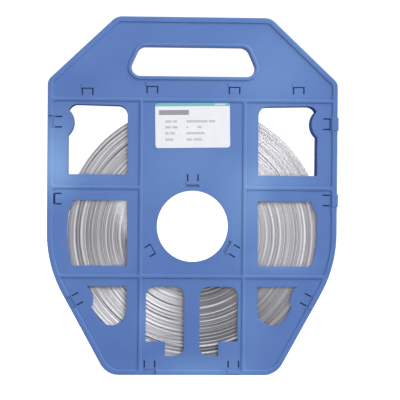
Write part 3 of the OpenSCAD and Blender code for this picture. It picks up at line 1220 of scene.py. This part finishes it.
class BANDING_OT_label(bpy.types.Operator):
    """Print the label with a heading band and generic bars"""

    bl_idname = "banding.label"
    bl_label = "Label"

    def execute(self, context):
        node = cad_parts["label"]
        node.data.materials.clear()
        node.data.materials.append(printed_paper(context.scene.banding_label))
        return {"FINISHED"}


# ---------------------------------------------------------------- stage


# Where the lights stand, and how wide they are
KEY_PLACE, KEY_SIZE = (1.9, -1.6, 2.1), 2.4
FILL_PLACE, FILL_SIZE = (-0.6, -1.8, 0.7), 1.2
WHITE = (1.0, 1.0, 1.0, 1.0)
FLOOR_COLOUR = (0.60, 0.60, 0.60, 1.0)
FLOOR_SIDES = 96
# The camera's place, and how far it is turned: to the right, down, and its right side up
CAMERA_PLACE = Vector((-0.055, -1.312, 0.1726))
CAMERA_YAW = math.radians(2.711)
CAMERA_PITCH = math.radians(0.652)
CAMERA_ROLL = math.radians(0.440)
FILM_WIDTH = 36


def lit_and_seen(tree, lit, seen):
    """One strength for the light that falls on the object, and another for the view."""
    is_seen = add_node(tree, "ShaderNodeLightPath").outputs["Is Camera Ray"]
    return spread(tree, is_seen, 0.0, 1.0, lit, seen)


def white_floor(settings):
    """A plain round floor, whose white glow is seen but lights nothing."""
    bm = bmesh.new()
    bmesh.ops.create_circle(bm, cap_ends=True, segments=FLOOR_SIDES, radius=settings.floor_radius)
    mesh = bpy.data.meshes.new("floor")
    bm.to_mesh(mesh)
    bm.free()
    floor = bpy.data.objects.new("floor", mesh)
    white, tree, shader = new_material("white_floor")
    shader.inputs["Base Color"].default_value = FLOOR_COLOUR
    shader.inputs["Roughness"].default_value = 0.9
    shader.inputs["Specular IOR Level"].default_value = 0.0
    shader.inputs["Emission Color"].default_value = WHITE
    glow = lit_and_seen(tree, 0.0, settings.floor_glow)
    tree.links.new(glow, shader.inputs["Emission Strength"])
    mesh.materials.append(white)
    bpy.context.scene.collection.objects.link(floor)
    return floor


def white_surround(settings):
    """A white world, with one strength as light and another as the backdrop."""
    world = bpy.data.worlds.new("White surround")
    world.use_nodes = True
    background = world.node_tree.nodes["Background"]
    background.inputs["Color"].default_value = WHITE
    strength = lit_and_seen(world.node_tree, settings.surround, settings.backdrop)
    world.node_tree.links.new(strength, background.inputs["Strength"])
    return world


def soft_light(name, place, target, size, power):
    """A round soft light that faces a target."""
    light = bpy.data.lights.new(name, "AREA")
    light.shape = "DISK"
    light.size = size
    light.energy = power
    lamp = bpy.data.objects.new(name, light)
    lamp.location = place
    lamp.rotation_euler = (Vector(target) - Vector(place)).to_track_quat("-Z", "Y").to_euler()
    bpy.context.scene.collection.objects.link(lamp)


def aimed_camera(lens):
    """The camera stands before the case, a little to its left, and looks slightly down."""
    data = bpy.data.cameras.new("Camera")
    data.lens = lens
    data.sensor_width = FILM_WIDTH
    camera = bpy.data.objects.new("Camera", data)
    forward = Vector(
        (
            math.sin(CAMERA_YAW) * math.cos(CAMERA_PITCH),
            math.cos(CAMERA_YAW) * math.cos(CAMERA_PITCH),
            -math.sin(CAMERA_PITCH),
        )
    )
    level_right = Vector((math.cos(CAMERA_YAW), -math.sin(CAMERA_YAW), 0))
    level_up = level_right.cross(forward)
    right = math.cos(CAMERA_ROLL) * level_right + math.sin(CAMERA_ROLL) * level_up
    up = math.cos(CAMERA_ROLL) * level_up - math.sin(CAMERA_ROLL) * level_right
    turn = Matrix((right, up, -forward)).transposed()
    camera.matrix_world = Matrix.Translation(CAMERA_PLACE) @ turn.to_4x4()
    bpy.context.scene.collection.objects.link(camera)
    bpy.context.scene.camera = camera


class BANDING_OT_stage(bpy.types.Operator):
    """Set up the plain floor, the soft lights and the camera"""

    bl_idname = "banding.stage"
    bl_label = "Stage"

    def execute(self, context):
        settings = context.scene.banding_stage
        floor = white_floor(settings)
        context.scene.world = white_surround(settings)
        middle = (CAD_LOW + CAD_HIGH) / 2
        soft_light("Key", KEY_PLACE, middle, KEY_SIZE, settings.key_power)
        soft_light("Fill", FILL_PLACE, middle, FILL_SIZE, settings.fill_power)
        context.scene.view_settings.view_transform = "Standard"
        aimed_camera(settings.lens)
        return {"FINISHED"}


# ---------------------------------------------------------------- panel and registration


class BANDING_PT_panel(bpy.types.Panel):
    """Sizes, colours and pieces of the banding case"""

    bl_idname = "BANDING_PT_panel"
    bl_label = "Banding Case"
    bl_space_type = "VIEW_3D"
    bl_region_type = "UI"
    bl_category = "Banding"

    def draw(self, context):
        groups = (
            ("banding_case", BANDING_OT_half_shells),
            ("banding_band", BANDING_OT_coil),
            ("banding_label", BANDING_OT_label),
            ("banding_stage", BANDING_OT_stage),
        )
        for group, operator in groups:
            box = self.layout.box()
            settings = getattr(context.scene, group)
            for field in settings.__annotations__:
                box.prop(settings, field)
            box.operator(operator.bl_idname)


CLASSES = (
    CaseSettings,
    BandSettings,
    LabelSettings,
    StageSettings,
    BANDING_OT_half_shells,
    BANDING_OT_coil,
    BANDING_OT_label,
    BANDING_OT_stage,
    BANDING_PT_panel,
)
SETTINGS = {
    "banding_case": CaseSettings,
    "banding_band": BandSettings,
    "banding_label": LabelSettings,
    "banding_stage": StageSettings,
}


def register():
    for cls in CLASSES:
        bpy.utils.register_class(cls)
    for name, group in SETTINGS.items():
        setattr(bpy.types.Scene, name, PointerProperty(type=group))


def unregister():
    for name in SETTINGS:
        delattr(bpy.types.Scene, name)
    for cls in reversed(CLASSES):
        bpy.utils.unregister_class(cls)


def main():
    register()
    bpy.ops.banding.half_shells()
    bpy.ops.banding.coil()
    bpy.ops.banding.label()
    bpy.ops.banding.stage()


if __name__ == "__main__":
    main()
